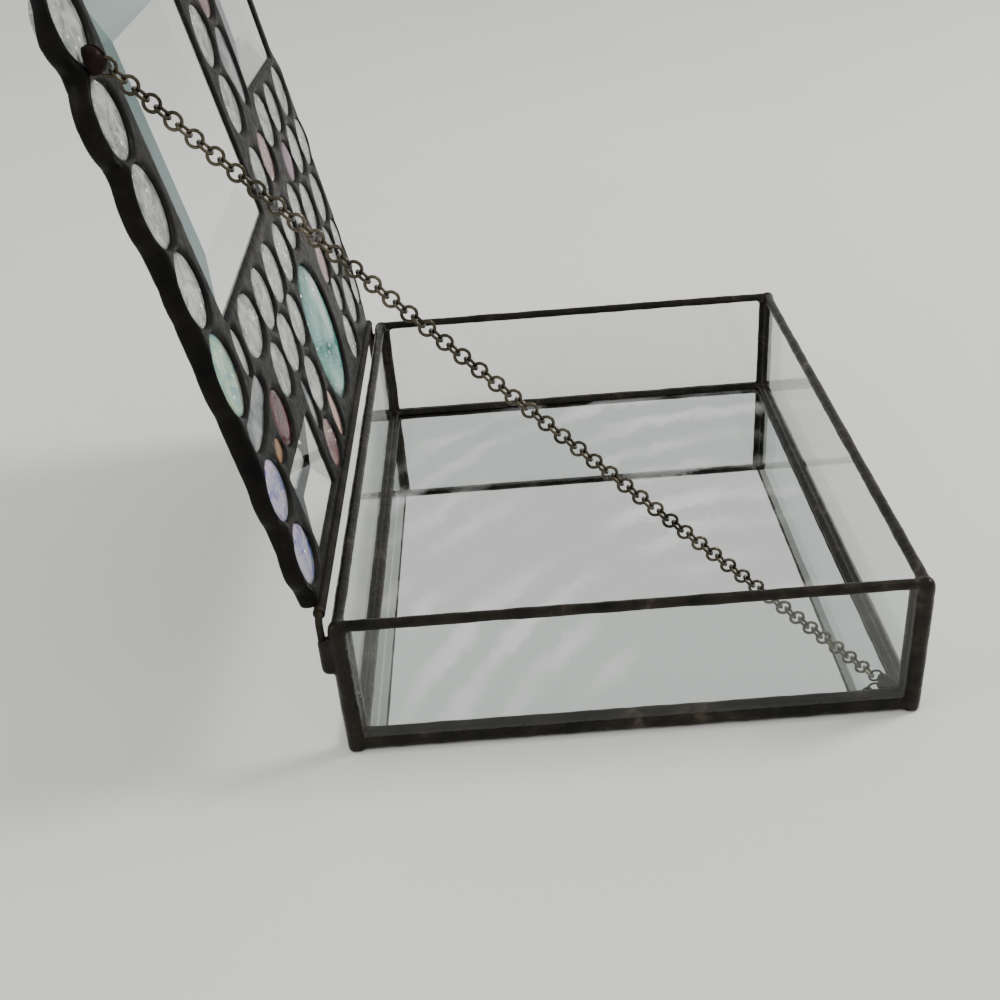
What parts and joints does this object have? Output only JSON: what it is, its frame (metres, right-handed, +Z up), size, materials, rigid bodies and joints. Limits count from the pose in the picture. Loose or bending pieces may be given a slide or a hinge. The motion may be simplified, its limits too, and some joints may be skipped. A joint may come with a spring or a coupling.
{
  "type": "leaded glass keepsake box",
  "caption": "Low keepsake box of clear glass in dark solder seams, with a mirror floor and a chained, hinged lid pieced from glass nuggets and bevels.",
  "frame": {"origin": "middle of the mirror floor's underside, on the table", "axes": "+X along the hinge, to the right of someone facing the front; +Y from the front to the hinge; +Z up"},
  "size_m": [0.2127, 0.1947, 0.1972],
  "materials": {
    "mirror_glass": "silvered glass, clean with faint haze",
    "clear_pane_glass": "clear polished sheet glass",
    "patina_solder": "solder with dark patina, waxed, soft shine",
    "red_brown_solder": "solder with red-brown patina",
    "hinge_metal": "brass tube and rod under dark patina",
    "chain_metal": "dark bronze chain wire",
    "clear_nugget_glass": "clear fire-polished glass, slightly textured",
    "iridescent_glass": "clear glass with a thin iridescent film",
    "blue_iridescent_glass": "clear glass with a strong blue iridescent film",
    "pink_glass": "pale pink fire-polished glass",
    "coral_glass": "coral and clear fire-polished glass",
    "mauve_glass": "mauve fire-polished glass",
    "red_glass": "deep red fire-polished glass",
    "amber_glass": "amber glass",
    "pale_wispy_glass": "pale wispy glass",
    "grey_wispy_glass": "grey and white wispy glass",
    "teal_glass": "clear and teal fire-polished glass",
    "teal_bevel_glass": "clear bevelled plate, polished",
    "grey_bevel_glass": "clear bevelled plate, polished",
    "bright_jewel_glass": "clear cut jewel, polished"
  },
  "bodies": {
    "box": {"mirror_base": "mirror_glass", "front_pane": "clear_pane_glass", "rear_pane": "clear_pane_glass", "left_pane": "clear_pane_glass", "right_pane": "clear_pane_glass", "front_rim_seam": "patina_solder", "rear_rim_seam": "patina_solder", "left_rim_seam": "patina_solder", "right_rim_seam": "patina_solder", "front_base_seam": "patina_solder", "rear_base_seam": "patina_solder", "left_base_seam": "patina_solder", "right_base_seam": "patina_solder", "front_left_corner_seam": "patina_solder", "front_right_corner_seam": "patina_solder", "rear_left_corner_seam": "patina_solder", "rear_right_corner_seam": "patina_solder", "hinge_rod": "hinge_metal", "chain_anchor": "patina_solder"},
    "lid": {"lid_solder_web": "patina_solder", "hinge_tube": "hinge_metal", "lid_chain_lug": "red_brown_solder", "large_bevel": "teal_bevel_glass", "small_bevel": "grey_bevel_glass", "rectangular_jewel": "bright_jewel_glass", "jumbo_nugget": "teal_glass", "edge_clear_nuggets": "clear_nugget_glass", "edge_tall_nugget": "iridescent_glass", "edge_iridescent_nuggets": "blue_iridescent_glass", "row_oval_nugget": "clear_nugget_glass", "first_row_nuggets": "clear_nugget_glass", "second_row_nuggets": "clear_nugget_glass", "middle_nuggets": "clear_nugget_glass", "upper_nuggets": "clear_nugget_glass", "lower_nuggets": "clear_nugget_glass", "front_pink_nugget": "pink_glass", "middle_pink_nugget": "pink_glass", "lower_pink_nugget": "pink_glass", "rear_pink_nugget": "pink_glass", "pink_drop_nugget": "coral_glass", "mauve_nugget": "mauve_glass", "red_nugget": "red_glass", "amber_sliver": "amber_glass", "pale_sliver": "pale_wispy_glass", "grey_sliver": "grey_wispy_glass", "petal_piece": "grey_wispy_glass", "leaf_piece": "grey_wispy_glass"},
    "chain_run_1": {"chain_run_1": "chain_metal"},
    "chain_run_2": {"chain_run_2": "chain_metal"},
    "chain_run_3": {"chain_run_3": "chain_metal"},
    "chain_run_4": {"chain_run_4": "chain_metal"},
    "chain_run_5": {"chain_run_5": "chain_metal"},
    "chain_run_6": {"chain_run_6": "chain_metal"},
    "chain_run_7": {"chain_run_7": "chain_metal"},
    "chain_run_8": {"chain_run_8": "chain_metal"},
    "chain_run_9": {"chain_run_9": "chain_metal"}
  },
  "joints": [
    {"name": "lid_hinge", "type": "hinge", "parent": "box", "child": "lid", "pos_m": [0, 0.0803, 0.0435], "axis": [1, 0, 0], "range_deg": [0, 101.45]},
    {"name": "chain_pivot_1", "type": "hinge", "parent": "box", "child": "chain_run_1", "pos_m": [-0.0935, -0.0675, 0.0056], "axis": [1, 0, 0], "range_deg": [-45.42, 0]},
    {"name": "chain_pivot_2", "type": "hinge", "parent": "chain_run_1", "child": "chain_run_2", "pos_m": [-0.0935, -0.0295, 0.0424], "axis": [1, 0, 0], "range_deg": [0, 12.86]},
    {"name": "chain_pivot_3", "type": "hinge", "parent": "chain_run_2", "child": "chain_run_3", "pos_m": [-0.0935, -0.01065, 0.06097], "axis": [1, 0, 0], "range_deg": [0, 54.91]},
    {"name": "chain_pivot_4", "type": "hinge", "parent": "chain_run_3", "child": "chain_run_4", "pos_m": [-0.0935, 0.00809, 0.07964], "axis": [1, 0, 0], "range_deg": [0, 93.38]},
    {"name": "chain_pivot_5", "type": "hinge", "parent": "chain_run_4", "child": "chain_run_5", "pos_m": [-0.0935, 0.01928, 0.09089], "axis": [1, 0, 0], "range_deg": [0, 31.41]},
    {"name": "chain_pivot_6", "type": "hinge", "parent": "chain_run_5", "child": "chain_run_6", "pos_m": [-0.0935, 0.03044, 0.10218], "axis": [1, 0, 0], "range_deg": [0, 94.99]},
    {"name": "chain_pivot_7", "type": "hinge", "parent": "chain_run_6", "child": "chain_run_7", "pos_m": [-0.0935, 0.04894, 0.12108], "axis": [1, 0, 0], "range_deg": [-98.29, 0]},
    {"name": "chain_pivot_8", "type": "hinge", "parent": "chain_run_7", "child": "chain_run_8", "pos_m": [-0.0935, 0.06734, 0.14009], "axis": [1, 0, 0], "range_deg": [-93.86, 0]},
    {"name": "chain_pivot_9", "type": "hinge", "parent": "chain_run_8", "child": "chain_run_9", "pos_m": [-0.0935, 0.08562, 0.1592], "axis": [1, 0, 0], "range_deg": [0, 77.5]}
  ],
  "couplings": [
    {"joint": "chain_pivot_1", "follows": "lid_hinge", "ratio": -0.4379},
    {"joint": "chain_pivot_2", "follows": "lid_hinge", "ratio": 0.1169},
    {"joint": "chain_pivot_3", "follows": "lid_hinge", "ratio": 0.5314},
    {"joint": "chain_pivot_4", "follows": "lid_hinge", "ratio": 0.9106},
    {"joint": "chain_pivot_5", "follows": "lid_hinge", "ratio": 0.2998},
    {"joint": "chain_pivot_6", "follows": "lid_hinge", "ratio": 0.9265},
    {"joint": "chain_pivot_7", "follows": "lid_hinge", "ratio": -0.959},
    {"joint": "chain_pivot_8", "follows": "lid_hinge", "ratio": -0.9153},
    {"joint": "chain_pivot_9", "follows": "lid_hinge", "ratio": 0.7541}
  ]
}
